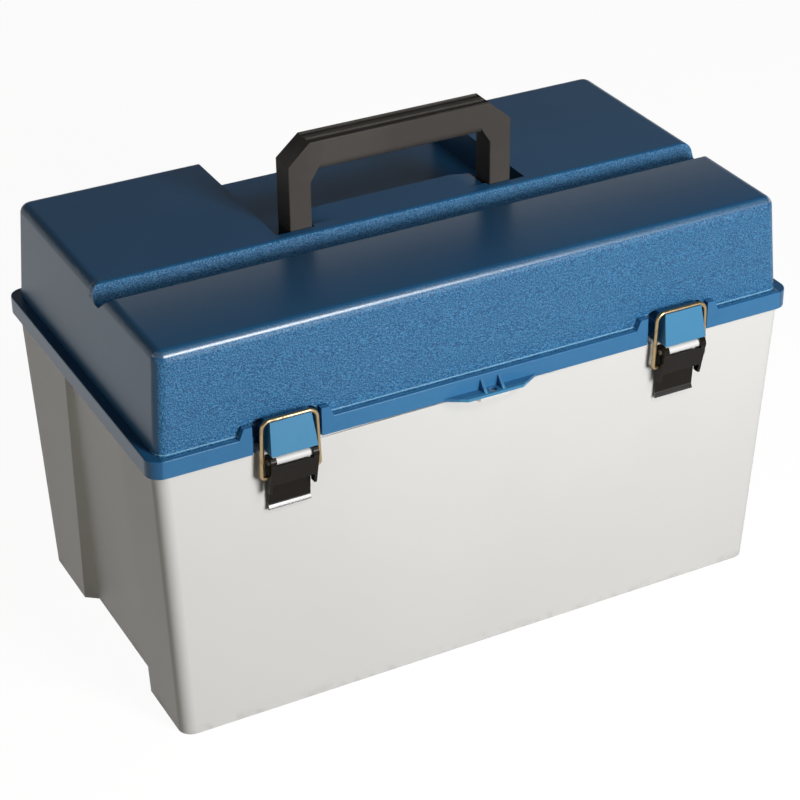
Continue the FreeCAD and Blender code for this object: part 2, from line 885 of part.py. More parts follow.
def lid_shell():
    outside = rounded_lid_block()
    outside = take(outside, [groove_cutter(0), well_cutter(0)] + land_ramps())
    outside = outside.cut(groove_edge_rounding())
    pieces = [outside, rim_band()]
    for place in (-latch_place, latch_place):
        pieces += latch_posts(place)
    solid = join(pieces)
    inner_top = lid_top_height - shell_wall
    inside = lid_block(shell_wall, parting_height - overrun, inner_top)
    inner_edges = edges_where(inside, lambda edge: on_top(edge, inner_top))
    inside = inside.makeFillet(lid_side_fillet - shell_wall, inner_edges)
    inside = take(inside, [groove_cutter(shell_wall), well_cutter(shell_wall)])
    shell = solid.cut(inside)
    backings = [pocket_backing(place) for place in (-latch_place, latch_place)]
    shell = join([shell] + backings)
    shell = take(shell, [latch_pocket(place) for place in (-latch_place, latch_place)])
    catches = [latch_catch(place) for place in (-latch_place, latch_place)]
    for place in (-latch_place, latch_place):
        catches += pocket_tabs(place)
    shell = join([shell] + catches + padlock_tab() + lid_hinge_arms())
    inner, outer = handle_pin_ends()
    pin = handle_pin(handle_pin_radius, inner, outer)
    cutters = hinge_bores(hinge_pin_radius + running_gap)
    cutters += [pin, mirrored(pin), padlock_hole()]
    return take(shell, cutters)


def handle():
    half = handle_half_width
    inner = half - handle_leg_width
    foot = handle_pivot_height
    grip_foot = handle_top_height - handle_grip_height
    front = -handle_front_front
    rear = front + handle_depth
    outer_outline = [
        (-half, foot), (half, foot),
        (half, handle_top_height - handle_outer_chamfer_rise),
        (half - handle_outer_chamfer_run, handle_top_height),
        (-half + handle_outer_chamfer_run, handle_top_height),
        (-half, handle_top_height - handle_outer_chamfer_rise),
    ]
    opening_outline = [
        (-inner, foot - overrun), (inner, foot - overrun),
        (inner, grip_foot - handle_inner_chamfer_rise),
        (inner - handle_inner_chamfer_run, grip_foot),
        (-inner + handle_inner_chamfer_run, grip_foot),
        (-inner, grip_foot - handle_inner_chamfer_rise),
    ]
    bow = prism_along_y(outer_outline, front, rear)
    bow = bow.cut(prism_along_y(opening_outline, front - overrun, rear + overrun))

    def runs_across_outside(edge):
        bounds = edge.BoundBox
        high = bounds.ZMax > foot + seat_gap
        return high and bounds.YLength < seat_gap

    def runs_under_grip(edge):
        bounds = edge.BoundBox
        level = abs(bounds.ZMin - grip_foot) < seat_gap and bounds.ZLength < seat_gap
        return level and bounds.XLength > inner

    bow = bow.makeFillet(handle_grip_round, edges_where(bow, runs_under_grip))
    bow = bow.makeFillet(handle_edge_round, edges_where(bow, runs_across_outside))
    ends = []
    trims = []
    for x0 in (-half, inner):
        x1 = x0 + handle_leg_width
        ends.append(rod_along_x(x0, x1, handle_middle, foot, handle_end_radius))
    channel_half = half - handle_outer_chamfer_run
    for share in (-0.5, 0.5):
        middle = handle_middle + share * handle_depth / 2
        trims.append(box(
            -channel_half, channel_half, middle - handle_channel_width / 2,
            middle + handle_channel_width / 2, handle_top_height - handle_channel_depth,
            handle_top_height + overrun))
    grip = take(join([bow] + ends), trims)
    bore = handle_pin(handle_pin_radius + running_gap, inner - overrun, half + overrun)
    return take(grip, [bore, mirrored(bore)])


def lever():
    # The right-hand lever: a plate with side flanges, round ears, a tongue and a curled lip.
    place = latch_place
    half = lever_half_width
    pivot_y = -latch_pivot_front
    pivot_z = latch_pivot_height
    profile = [
        (-lever_front, pivot_z),
        (-lever_flange_foot_front, lever_flange_foot_height),
        (-lever_flange_rear_front, lever_flange_foot_height),
        (-lever_flange_rear_front, pivot_z),
    ]
    block = prism_along_x(profile, place - half, place + half)
    ears = rod_along_x(place - half, place + half, pivot_y, pivot_z, lever_end_radius)
    block = join([block, ears])
    between = half - lever_flange_thickness
    thickness = lever_plate_thickness
    room = prism_along_x([
        (-lever_front + thickness, pivot_z + overrun),
        (-lever_front + thickness, pivot_z),
        (-lever_step_front + thickness, lever_step_height),
        (-lever_step_front + thickness, lever_step_height - overrun),
        (-lever_flange_rear_front + overrun, lever_step_height - overrun),
        (-lever_flange_rear_front + overrun, pivot_z + overrun),
    ], place - between, place + between)
    block = block.cut(room)
    bar_inner = half - lever_bar_width
    window = box(
        place - bar_inner, place + bar_inner, -lever_front - overrun,
        -lever_flange_rear_front + overrun, lever_window_foot_height, pivot_z + overrun)
    below = box(
        place - between, place + between, -lever_front - overrun,
        -lever_flange_rear_front + overrun, lever_flange_foot_height - overrun, lever_step_height)
    block = take(block, [window, below])
    tongue_half = lever_tongue_half_width
    step_cover = lever_step_height + thickness
    tongue = prism_along_x([
        (-lever_tongue_top_front, step_cover),
        (-lever_tongue_foot_front, lever_lip_height),
        (-lever_tongue_foot_front + lever_tongue_thickness, lever_lip_height),
        (-lever_tongue_top_front + lever_tongue_thickness, step_cover),
    ], place - tongue_half, place + tongue_half)
    step = prism_along_x([
        (-lever_step_front, lever_step_height),
        (-lever_tongue_top_front + lever_tongue_thickness, lever_step_height),
        (-lever_tongue_top_front + lever_tongue_thickness, step_cover),
        (-lever_step_front, step_cover),
    ], place - tongue_half, place + tongue_half)
    lip = rod_along_x(
        place - tongue_half, place + tongue_half, -lever_lip_front, lever_lip_height,
        lever_lip_radius)
    whole = join([block, tongue, step, lip])
    cutters = [
        rod_along_x(
            place - half - overrun, place + half + overrun, pivot_y, pivot_z,
            latch_pin_radius + running_gap),
        rod_along_x(
            place - half - overrun, place + half + overrun, -bail_foot_front,
            bail_foot_height, bail_wire_radius + running_gap),
    ]
    return take(whole, cutters)


def latch_pins():
    # Two short pins of the right-hand latch, each through an ear into the barrel.
    pieces = []
    for side in (-1, 1):
        inner = lug_bore_end
        outer = lever_half_width + running_gap
        head = outer + latch_pin_head_thickness
        spans = ((inner, outer, latch_pin_radius), (outer, head, latch_pin_head_radius))
        rods = []
        for near, far, radius in spans:
            ends = sorted((latch_place + side * near, latch_place + side * far))
            rods.append(rod_along_x(
                ends[0], ends[1], -latch_pivot_front, latch_pivot_height, radius))
        pieces.append(join(rods))
    return Part.makeCompound(pieces)


def bail():
    # The right-hand bail: one wire in a leaning plane, with its ends turned in to the lever.
    rise = bail_bar_height - bail_foot_height
    lean = bail_foot_front - bail_bar_front

    def at(side, half_width, share):
        return vector(
            latch_place + side * half_width, -bail_foot_front + lean * share,
            bail_foot_height + rise * share)

    points = [
        at(-1, bail_end_half_width, 0), at(-1, bail_foot_half_width, 0),
        at(-1, bail_top_half_width, 1), at(1, bail_top_half_width, 1),
        at(1, bail_foot_half_width, 0), at(1, bail_end_half_width, 0),
    ]
    radii = [bail_hook_radius, bail_corner_radius, bail_corner_radius, bail_hook_radius]
    edges = []
    start = points[0]
    for index, radius in enumerate(radii):
        before, corner, after = points[index:index + 3]
        back = (before - corner).normalize()
        on = (after - corner).normalize()
        reach = radius / math.tan(back.getAngle(on) / 2)
        first = corner + back * reach
        last = corner + on * reach
        inward = (back + on).normalize()
        depth = (radius ** 2 + reach ** 2) ** 0.5 - radius
        middle = corner + inward * depth
        edges.append(Part.makeLine(start, first))
        edges.append(Part.Arc(first, middle, last).toShape())
        start = last
    edges.append(Part.makeLine(start, points[-1]))
    path = Part.Wire(edges)
    section = Part.Wire(Part.makeCircle(bail_wire_radius, points[0], vector(1, 0, 0)))
    return path.makePipeShell([section], True, False)


def hinge_pin():
    # The right-hand hinge pin, with a head at its outer end.
    reach = lid_knuckle_width / 2 + knuckle_gap + base_knuckle_width
    shank = rod_along_x(
        hinge_place - reach, hinge_place + reach, hinge_rear, hinge_height, hinge_pin_radius)
    head = rod_along_x(
        hinge_place + reach, hinge_place + reach + hinge_pin_head_thickness, hinge_rear,
        hinge_height, hinge_pin_head_radius)
    return join([shank, head])


def write(name, shape):
    shape.exportStep("parts/" + name + ".step")
    print(name, len(shape.Solids), shape.isValid(), round(shape.Volume))


def write_pair(name, right_shape):
    write(name + "_left", mirrored(right_shape))
    write(name + "_right", right_shape)


write("base_shell", base_shell())
write("front_cover", front_cover())
write_pair("rack_side", rack_side())
write("rack_center", rack_center())
for row, row_name in enumerate(("lower", "middle", "upper")):
    write_pair("drawer_" + row_name, drawer(row))
    write_pair("drawer_" + row_name + "_dividers", drawer_dividers(row))
write("bulk_bin", bulk_bin())
write("lift_tray", lift_tray())
write("lift_tray_dividers", tray_dividers())
write("lid_shell", lid_shell())
write("carry_handle", handle())
pin_inner, pin_outer = handle_pin_ends()
write_pair("handle_pin", handle_pin(handle_pin_radius, pin_inner, pin_outer))
write_pair("hinge_pin", hinge_pin())
write_pair("latch_lever", lever())
write_pair("latch_pins", latch_pins())
write_pair("latch_bail", bail())
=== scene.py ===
import json
import math

import bmesh
import bpy
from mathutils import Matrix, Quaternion, Vector


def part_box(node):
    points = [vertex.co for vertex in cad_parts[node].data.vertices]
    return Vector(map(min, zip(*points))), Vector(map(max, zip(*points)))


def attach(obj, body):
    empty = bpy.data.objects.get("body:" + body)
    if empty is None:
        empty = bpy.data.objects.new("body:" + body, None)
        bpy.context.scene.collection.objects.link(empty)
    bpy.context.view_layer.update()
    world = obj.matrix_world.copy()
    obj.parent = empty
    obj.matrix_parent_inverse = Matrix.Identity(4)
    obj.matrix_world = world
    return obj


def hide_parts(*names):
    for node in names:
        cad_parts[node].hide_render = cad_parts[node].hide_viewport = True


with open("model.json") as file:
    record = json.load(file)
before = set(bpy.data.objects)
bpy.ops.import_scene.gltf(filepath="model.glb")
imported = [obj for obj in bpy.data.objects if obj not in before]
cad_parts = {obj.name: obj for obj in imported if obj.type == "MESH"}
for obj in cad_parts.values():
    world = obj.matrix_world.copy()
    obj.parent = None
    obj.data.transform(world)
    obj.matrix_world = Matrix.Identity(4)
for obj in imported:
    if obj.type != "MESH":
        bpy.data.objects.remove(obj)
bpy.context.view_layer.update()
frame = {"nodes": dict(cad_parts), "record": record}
nodeBody = {
    node: body
    for body, nodes in frame["record"]["behaviour"]["bodies"].items()
    for node in nodes
}
nodeSlot = {row["node"]: row["material_slot"] for row in frame["record"]["subparts"]}


# Shader building

def rgba(color):
    return (*color, 1.0)


class Wire:
    # A socket's value in plain arithmetic: every operator adds its Math node.
    def __init__(self, finish, socket):
        self.finish = finish
        self.socket = socket

    def joined(self, operation, first, second):
        return self.finish.add("ShaderNodeMath", {"operation": operation}, {0: first, 1: second})

    def __add__(self, other):
        return self.joined("ADD", self, other)

    def __radd__(self, other):
        return self.joined("ADD", other, self)

    def __sub__(self, other):
        return self.joined("SUBTRACT", self, other)

    def __rsub__(self, other):
        return self.joined("SUBTRACT", other, self)

    def __mul__(self, other):
        return self.joined("MULTIPLY", self, other)

    def __rmul__(self, other):
        return self.joined("MULTIPLY", other, self)

    def __abs__(self):
        return self.finish.add("ShaderNodeMath", {"operation": "ABSOLUTE"}, {0: self})


class Finish:
    # One node tree, with short ways to the nodes that the materials below share.
    def __init__(self, tree):
        self.tree = tree
        tree.nodes.clear()

    def add(self, kind, settings=None, values=None, output=0):
        # Settings are made first, then each socket takes a number, a colour or a wire.
        node = self.tree.nodes.new(kind)
        for key, value in (settings or {}).items():
            setattr(node, key, value)
        for key, value in (values or {}).items():
            if isinstance(value, Wire):
                self.tree.links.new(value.socket, node.inputs[key])
            else:
                node.inputs[key].default_value = value
        return Wire(self, node.outputs[output]) if node.outputs else node

    def place(self):
        return self.add("ShaderNodeTexCoord", output="Object")

    def along(self, axis):
        return self.add("ShaderNodeSeparateXYZ", {}, {0: self.place()}, output=axis)

    def noise(self, perMetre, detail=2.0, stretch=None):
        place = self.place()
        if stretch:
            place = self.add("ShaderNodeMapping", {}, {"Vector": place, "Scale": stretch})
        return self.add(
            "ShaderNodeTexNoise", {}, {"Vector": place, "Scale": perMetre, "Detail": detail})

    def cells(self, perMetre, smoothness):
        return self.add(
            "ShaderNodeTexVoronoi", {"feature": "SMOOTH_F1"},
            {"Vector": self.place(), "Scale": perMetre, "Smoothness": smoothness})

    def rise(self, value, low, high):
        # 0 below the low value, 1 above the high one and smooth between them.
        return self.add(
            "ShaderNodeMapRange", {"interpolation_type": "SMOOTHSTEP"},
            {"Value": value, "From Min": low, "From Max": high})

    def patches(self, perMetre, detail, low, high, stretch=None):
        return self.rise(self.noise(perMetre, detail, stretch), low, high)

    def either(self, first, second):
        return self.add("ShaderNodeMath", {"operation": "MAXIMUM"}, {0: first, 1: second})

    def blend(self, share, first, second):
        first = first if isinstance(first, Wire) else rgba(first)
        second = second if isinstance(second, Wire) else rgba(second)
        # The colour sockets of a Mix node come after its number and vector ones.
        return self.add(
            "ShaderNodeMix", {"data_type": "RGBA"},
            {"Factor": share, 6: first, 7: second}, output=2)

    def edgeShare(self):
        # How far a spot lies on a rounded edge, as roundedCopy leaves it on the mesh.
        return self.add("ShaderNodeAttribute", {"attribute_name": "edgeShare"}, {}, output="Fac")

    def relief(self, height, depth, under=None):
        values = {"Height": height, "Distance": depth}
        if under:
            values["Normal"] = under
        return self.add("ShaderNodeBump", {}, values)

    def surface(self, values):
        shader = self.add("ShaderNodeBsdfPrincipled", {}, values)
        self.add("ShaderNodeOutputMaterial", {}, {"Surface": shader})


def newFinish(name):
    material = bpy.data.materials.new(name)
    material.use_nodes = True
    return material, Finish(material.node_tree)


# Finishes. Colours are linear and lengths are metres. A noise is given by its repeats in a metre
# and its detail. Patches add the two levels that they rise between, and some add a stretch.

shellLook = {
    "color": (0.79, 0.785, 0.765), "shade": (0.75, 0.74, 0.715), "scuff": (0.50, 0.47, 0.42),
    "shadePatches": (5.0, 3.0, 0.35, 0.65), "shadeShare": 0.5,
    "scuffHeight": 0.012, "scuffPatches": (90.0, 4.0, 0.45, 0.7), "scuffShare": 0.35,
    "edgePatches": (60.0, 4.0, 0.5, 0.75), "edgeShare": 0.12,
    "scratches": (40.0, 6.0, 0.62, 0.72, (1.0, 1.0, 14.0)),
    "grain": (800.0, 2.0), "grainDepth": 0.00003, "waves": (5.0, 1.0), "waveDepth": 0.0006,
    "roughness": 0.42, "specks": 220.0, "speckDull": 0.08, "scuffDull": 0.10, "scratchDull": 0.05,
    "specular": 0.4,
}


def shellFinish():
    # Off-white moulded shell: satin, with a slow waviness and a foot scuffed by the ground.
    look = shellLook
    material, f = newFinish("shellPlastic")
    drift = f.patches(*look["shadePatches"])
    color = f.blend(drift * look["shadeShare"], look["color"], look["shade"])
    onFoot = 1 - f.rise(f.along("Z"), 0.0, look["scuffHeight"])
    footRub = onFoot * f.patches(*look["scuffPatches"])
    edgeRub = f.edgeShare() * f.patches(*look["edgePatches"])
    rubbed = footRub * look["scuffShare"] + edgeRub * look["edgeShare"]
    color = f.blend(rubbed, color, look["scuff"])
    scratches = f.patches(*look["scratches"])
    grain = f.relief(f.noise(*look["grain"]), look["grainDepth"])
    dull = look["speckDull"] * f.noise(look["specks"]) + look["scuffDull"] * footRub
    f.surface({
        "Base Color": color,
        "Roughness": look["roughness"] + dull + look["scratchDull"] * scratches,
        "Normal": f.relief(f.noise(*look["waves"]), look["waveDepth"], grain),
        "Specular IOR Level": look["specular"],
    })
    return material


# A limit on the lid is a pair: where its area begins and where it is full.
lidLook = {
    "deep": (0.011, 0.086, 0.214), "flake": (0.054, 0.228, 0.440), "smooth": (0.024, 0.130, 0.300),
    # The catch colour is a painted highlight on the catch plates' fronts.
    "rubbed": (0.10, 0.26, 0.45), "catch": (0.063, 0.258, 0.455), "shine": (0.22, 0.46, 0.64),
    "rimFront": (0.1542, 0.1550), "rimSide": (0.2853, 0.2861), "rimEdge": (0.2680, 0.2695),
    "foot": 0.2560, "sideLean": 0.074, "sideWall": (0.2800, 0.2816),
    "top": (0.3546, 0.3556), "round": (0.3472, 0.3497), "roundSide": (0.2668, 0.2688),
    "roundFront": (0.1385, 0.1405), "gloss": (0.3513, 0.3522), "glossEnd": (0.3543, 0.3553),
    "groove": (-0.0275, -0.0265), "grooveEnd": (-0.0150, -0.0140), "grooveFloor": (0.3430, 0.3440),
    "wellFront": (-0.0132, -0.0126), "wellSide": (0.1155, 0.1163), "wellFloor": (0.3250, 0.3260),
    "footRound": (0.2717, 0.2720), "footRoundEnd": (0.2728, 0.2732), "catchFront": (0.1645, 0.1649),
    "flecks": (820.0, 2.0, 0.41, 0.61), "fleckShare": 0.85, "grainedDrift": 0.15,
    "drift": (7.0, 3.0), "smoothDrift": 0.6, "plainDrift": 0.35,
    "clouds": (160.0, 4.0), "cloudShare": 0.3,
    "catchShare": 0.75, "catchClouds": (90.0, 3.0), "catchCloudShare": 0.25,
    # The rim edges and the lid's foot round take a painted highlight colour, standing in for the
    # lamps' reflection there.
    "edgePatches": (120.0, 4.0, 0.42, 0.7), "edgeShare": 0.35, "rimShine": 0.75, "footShine": 0.8,
    "cells": (640.0, 0.5), "cellShare": 0.7, "bumps": (1088.0, 1.0), "bumpShare": 0.5,
    "pebbleDepth": 0.00085, "roundCalm": 0.55, "grain": (300.0, 2.0), "grainDepth": 0.00002,
    "roughness": 0.34, "smoothPolish": 0.06, "specks": (350.0, 2.0), "speckDull": 0.08,
    "specular": 0.30, "coatRoughness": 0.28, "coatIor": 2.9,
}


def lidFinish():
    # Blue plastic with a fleck in it: pebbled in front, behind and in the groove, smooth elsewhere.
    look = lidLook
    material, f = newFinish("lidPlastic")
    across, depth, level = abs(f.along("X")), f.along("Y"), f.along("Z")
    forward = depth * -1

    onRim = f.rise(abs(depth), *look["rimFront"])
    onRimSide = f.rise(across, *look["rimSide"])
    sideReach = across + look["sideLean"] * (level - look["foot"])
    onTop = f.rise(level, *look["top"])
    high = f.rise(level, *look["round"])
    inGroove = (
        f.rise(depth, *look["groove"]) * (1 - f.rise(depth, *look["grooveEnd"]))
        * f.rise(level, *look["grooveFloor"]))
    onRoundSide = high * f.rise(across, *look["roundSide"])
    onSide = f.either(f.rise(sideReach, *look["sideWall"]), onRoundSide) * (1 - inGroove)
    inFront = f.rise(forward, *look["roundFront"])
    onRound = high * inFront
    inWell = (
        f.rise(depth, *look["wellFront"]) * (1 - f.rise(across, *look["wellSide"]))
        * f.rise(level, *look["wellFloor"]))
    pebbled = (1 - onRim) * (1 - onRimSide) * (1 - onSide) * (1 - onTop) * (1 - inWell)

    drift = f.noise(*look["drift"])
    fleckShare = f.patches(*look["flecks"]) * look["fleckShare"] + drift * look["grainedDrift"]
    grained = f.blend(fleckShare, look["deep"], look["flake"])
    smoothShare = drift * look["smoothDrift"] + f.noise(*look["clouds"]) * look["cloudShare"]
    smooth = f.blend(smoothShare, look["smooth"], look["flake"])
    plain = f.blend(drift * look["plainDrift"], look["deep"], look["flake"])
    smooth = f.blend(f.either(f.either(onSide, onTop), inWell), smooth, plain)
    # Painted highlight: the catch plates' fronts are painted a lighter blue in place of the key
    # lamp's reflection on them.
    catchShare = look["catchShare"] + look["catchCloudShare"] * f.noise(*look["catchClouds"])
    smooth = f.blend(f.rise(forward, *look["catchFront"]) * catchShare, smooth, look["catch"])
    color = f.blend(pebbled, smooth, grained)
    edgeRub = f.edgeShare() * f.patches(*look["edgePatches"]) * look["edgeShare"]
    color = f.blend(edgeRub, color, look["rubbed"])
    # Painted highlight: the rim's rounded top edges and the concave round at the lid's foot are
    # painted light blue in place of the lamps' reflection.
    rimEdgeHighlightMask = onRim * f.edgeShare() * f.rise(level, *look["rimEdge"])
    footRoundHighlightMask = (
        f.rise(level, *look["footRound"]) * (1 - f.rise(level, *look["footRoundEnd"]))
        * inFront * (1 - onRim))
    paintedHighlightShare = rimEdgeHighlightMask * look["rimShine"] + footRoundHighlightMask * look["footShine"]
    color = f.blend(paintedHighlightShare, color, look["shine"])

    bumps = f.noise(*look["bumps"]) * look["bumpShare"]
    pebbles = f.cells(*look["cells"]) * look["cellShare"] + bumps
    normal = f.relief(pebbles * pebbled * (1 - look["roundCalm"] * onRound), look["pebbleDepth"])
    polish = look["smoothPolish"] * (1 - pebbled)
    glossy = f.rise(level, *look["gloss"]) * (1 - f.rise(level, *look["glossEnd"]))
    f.surface({
        "Base Color": color,
        "Roughness": look["roughness"] - polish + look["speckDull"] * f.noise(*look["specks"]),
        "Normal": f.relief(f.noise(*look["grain"]), look["grainDepth"], normal),
        "Specular IOR Level": look["specular"], "Coat Weight": onRound * glossy,
        "Coat Roughness": look["coatRoughness"], "Coat IOR": look["coatIor"],
    })
    return material


handleLook = {
    "color": (0.070, 0.063, 0.057), "worn": (0.24, 0.22, 0.20),
    "edgePatches": (70.0, 5.0, 0.30, 0.62), "edgeShare": 0.8,
    "handPatches": (18.0, 4.0, 0.40, 0.75), "handShare": 0.10, "handPolish": 0.12,
    "grain": (1100.0, 2.0), "grainDepth": 0.00018,
    "roughness": 0.42, "specks": (240.0, 3.0), "speckDull": 0.12, "specular": 0.08,
}


def handleFinish():
    # Brown-black satin plastic, lighter along its edges: partly wear from hands, partly a painted
    # highlight where the edges catch the light.
    look = handleLook
    material, f = newFinish("handlePlastic")
    edgeWearAndHighlight = f.edgeShare() * f.patches(*look["edgePatches"])
    hand = f.patches(*look["handPatches"])
    dull = look["speckDull"] * f.noise(*look["specks"])
    f.surface({
        "Base Color": f.blend(
            edgeWearAndHighlight * look["edgeShare"] + hand * look["handShare"], look["color"], look["worn"]),
        "Roughness": look["roughness"] + dull - look["handPolish"] * hand,
        "Normal": f.relief(f.noise(*look["grain"]), look["grainDepth"]),
        "Specular IOR Level": look["specular"],
    })
    return material


leverLook = {
    "color": (0.012, 0.009, 0.007), "worn": (0.09, 0.075, 0.06),
    "edgePatches": (180.0, 4.0, 0.35, 0.65), "edgeShare": 0.8,
    "smears": (55.0, 5.0, 0.42, 0.72), "smearDull": 0.16, "specks": 700.0, "speckDull": 0.06,
    "grain": (420.0, 2.0), "grainDepth": 0.00001, "roughness": 0.16, "specular": 0.10,
    "lipTop": 0.2074, "lipEdge": 0.0006, "lipCoat": 0.8, "lipSpecks": 300.0, "lipSpeckShare": 0.2,
    "coatRoughness": 0.12,
    "lipTilt": (0.0, -0.902, 0.432), "lipFlat": 0.00135, "lipMiddle": (0.0, -0.1563, 0.2043),
}


def leverFinish():
    # Smooth dark brown latch levers, a little greasy, with a glossy lip; their edges are painted
    # lighter, partly as wear and partly as a painted highlight.
    look = leverLook
    material, f = newFinish("leverPlastic")
    edgeWearAndHighlight = f.edgeShare() * f.patches(*look["edgePatches"])
    smears = f.patches(*look["smears"])
    dull = look["smearDull"] * smears + look["speckDull"] * f.noise(look["specks"])
    onLip = 1 - f.rise(f.along("Z"), look["lipTop"] - look["lipEdge"], look["lipTop"])
    lipSpecks = f.noise(look["lipSpecks"])
    f.surface({
        "Base Color": f.blend(edgeWearAndHighlight * look["edgeShare"], look["color"], look["worn"]),
        "Roughness": look["roughness"] + dull,
        "Normal": f.relief(f.noise(*look["grain"]), look["grainDepth"]),
        "Specular IOR Level": look["specular"],
        "Coat Weight": onLip * (look["lipCoat"] + look["lipSpeckShare"] * lipSpecks),
        "Coat Roughness": look["coatRoughness"],
    })
    return material


metalLook = {
    "spotDetail": 5.0, "spotRise": (0.45, 0.72), "spotShare": 0.6, "spotDull": 0.22,
    "lines": (2600.0, 2.0, (0.05, 1.0, 1.0)), "lineDepth": 0.00001, "lineDull": 0.08,
    "brassWire": {
        "color": (0.42, 0.31, 0.17), "dull": (0.20, 0.13, 0.06), "roughness": 0.27, "spots": 260.0,
    },
    "steelPin": {
        "color": (0.48, 0.47, 0.45), "dull": (0.22, 0.21, 0.19), "roughness": 0.24, "spots": 300.0,
    },
}


def metalFinish(name):
    # Drawn metal: fine lines along it, with dull spots where the plating has aged.
    look = {**metalLook, **metalLook[name]}
    material, f = newFinish(name)
    spots = f.patches(look["spots"], look["spotDetail"], *look["spotRise"])
    lines = f.noise(*look["lines"])
    f.surface({
        "Base Color": f.blend(spots * look["spotShare"], look["color"], look["dull"]),
        "Roughness": look["roughness"] + look["spotDull"] * spots + look["lineDull"] * lines,
        "Metallic": 1.0, "Normal": f.relief(lines, look["lineDepth"]),
    })
    return material


innerLook = {
    "flow": (11.0, 4.0, 0.35, 0.7, (1.0, 0.35, 1.0)), "flowShare": 0.7, "edgeShare": 0.15,
    "scratches": (70.0, 6.0, 0.60, 0.70, (9.0, 1.0, 1.0)), "scratchDull": 0.10,
    "specks": 180.0, "speckDull": 0.08, "grain": (650.0, 2.0), "grainDepth": 0.00003,
    "specular": 0.4,
    "rackPlastic": {
        "color": (0.62, 0.61, 0.575), "shade": (0.54, 0.525, 0.48), "roughness": 0.50,
    },
    "drawerPlastic": {
        "color": (0.024, 0.105, 0.250), "shade": (0.018, 0.078, 0.190), "roughness": 0.40,
    },
    "dividerPlastic": {
        "color": (0.66, 0.65, 0.62), "shade": (0.58, 0.57, 0.53), "roughness": 0.36,
    },
}


def innerFinish(name):
    # Plain moulded inner pieces, with flow marks and light scratches from what they hold.
    look = {**innerLook, **innerLook[name]}
    material, f = newFinish(name)
    marks = f.patches(*look["flow"]) * look["flowShare"] + f.edgeShare() * look["edgeShare"]
    scratches = f.patches(*look["scratches"])
    dull = look["scratchDull"] * scratches + look["speckDull"] * f.noise(look["specks"])
    f.surface({
        "Base Color": f.blend(marks, look["color"], look["shade"]),
        "Roughness": look["roughness"] + dull,
        "Normal": f.relief(f.noise(*look["grain"]), look["grainDepth"]),
        "Specular IOR Level": look["specular"],
    })
    return material


finishes = {
    "body_shell": shellFinish(),
    "lid": lidFinish(),
    "handle": handleFinish(),
    "lever": leverFinish(),
    "bail": metalFinish("brassWire"),
    "steel_pin": metalFinish("steelPin"),
    "rack": innerFinish("rackPlastic"),
    "drawer": innerFinish("drawerPlastic"),
    "divider": innerFinish("dividerPlastic"),
}
print("finishes made:", len(finishes))


# Pieces. Angles are degrees, and each width is the size of a round.

edgeLook = {
    "merge": 0.000001, "flat": 0.1, "steep": 25.0, "sharp": 38.0, "stray": 40.0,
    "room": 2.2, "segments": 3, "profile": 0.5,
    "widths": {
        "base_shell": 0.0006, "front_cover": 0.0006, "lid_shell": 0.0005, "carry_handle": 0.0004,
        "latch_lever": 0.0003, "rack": 0.0004, "drawer": 0.0004, "bulk_bin": 0.0005,
        "lift_tray": 0.0005,
    },
    "lidFoot": 0.0016, "lidFootHeight": 0.2714, "near": 0.0001,
}


def steadyNormals(mesh):
    # A corner whose normal strays from its face takes the face's own.
    normals = [corner.vector.copy() for corner in mesh.corner_normals]
    for face in mesh.polygons:
        for index in face.loop_indices:
            if normals[index].angle(face.normal, 0.0) > math.radians(edgeLook["stray"]):
                normals[index] = face.normal.copy()
    mesh.normals_split_custom_set(normals)
    return mesh


def placePiece(name, mesh, node):
    # Puts a finished mesh in the scene in the place of its node.
    piece = bpy.data.objects.new(name, mesh)
    bpy.context.scene.collection.objects.link(piece)
    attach(piece, nodeBody[node])
    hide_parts(node)


def plainMesh(worker, name):
    # What the object's modifiers give, as a mesh of its own.
    bpy.context.view_layer.update()
    shown = worker.evaluated_get(bpy.context.evaluated_depsgraph_get())
    mesh = bpy.data.meshes.new_from_object(shown)
    mesh.name = name
    spent = worker.data
    bpy.data.objects.remove(worker)
    bpy.data.meshes.remove(spent)
    return mesh


def steepEdges(mesh, angle, width):
    # Edges to round: steep ones with room for the round at both ends.
    room = {
        vertex: min(edge.calc_length() for edge in vertex.link_edges) > width * edgeLook["room"]
        for vertex in mesh.verts
    }
    return [
        edge for edge in mesh.edges
        if edge.is_manifold and edge.calc_face_angle() > angle
        and all(room[end] for end in edge.verts)
    ]


def roundEdges(mesh, edges, width):
    result = bmesh.ops.bevel(
        mesh, geom=edges, offset=width, offset_type="OFFSET", affect="EDGES",
        segments=edgeLook["segments"], profile=edgeLook["profile"],
        clamp_overlap=True, loop_slide=True, material=-1)
    return set(result["faces"])


def lidFootEdges(mesh):
    # The inner corner where the lid's wall stands on the shelf of the rim.
    height, near = edgeLook["lidFootHeight"], edgeLook["near"]
    return [
        edge for edge in mesh.edges
        if not edge.is_convex and all(abs(end.co.z - height) < near for end in edge.verts)
        and edge.calc_face_angle() > math.radians(edgeLook["steep"])
    ]


catchLook = {
    "front": -0.1650, "top": 0.2843, "foot": 0.2576, "place": 0.1774, "reach": 0.0205,
    "lean": 0.0060, "near": 0.0002, "over": 0.01,
}


def leanCatches(mesh):
    # The front of each catch comes forward towards its foot.
    look = catchLook
    for vertex in mesh.verts:
        near = abs(abs(vertex.co.x) - look["place"]) < look["reach"]
        share = (look["top"] - vertex.co.z) / (look["top"] - look["foot"])
        onFront = abs(vertex.co.y - look["front"]) < look["near"]
        if near and onFront and -look["over"] < share < 1 + look["over"]:
            vertex.co.y -= look["lean"] * share


def flattenLip(mesh):
    # The curled lip has a flat strip that looks up and forwards.
    tilt, middle = Vector(leverLook["lipTilt"]), Vector(leverLook["lipMiddle"])
    for vertex in mesh.verts:
        offset = vertex.co - middle
        offset.x = 0.0
        rise = offset.dot(tilt) - leverLook["lipFlat"]
        if vertex.co.z < leverLook["lipTop"] and rise > 0.0:
            vertex.co -= tilt * rise


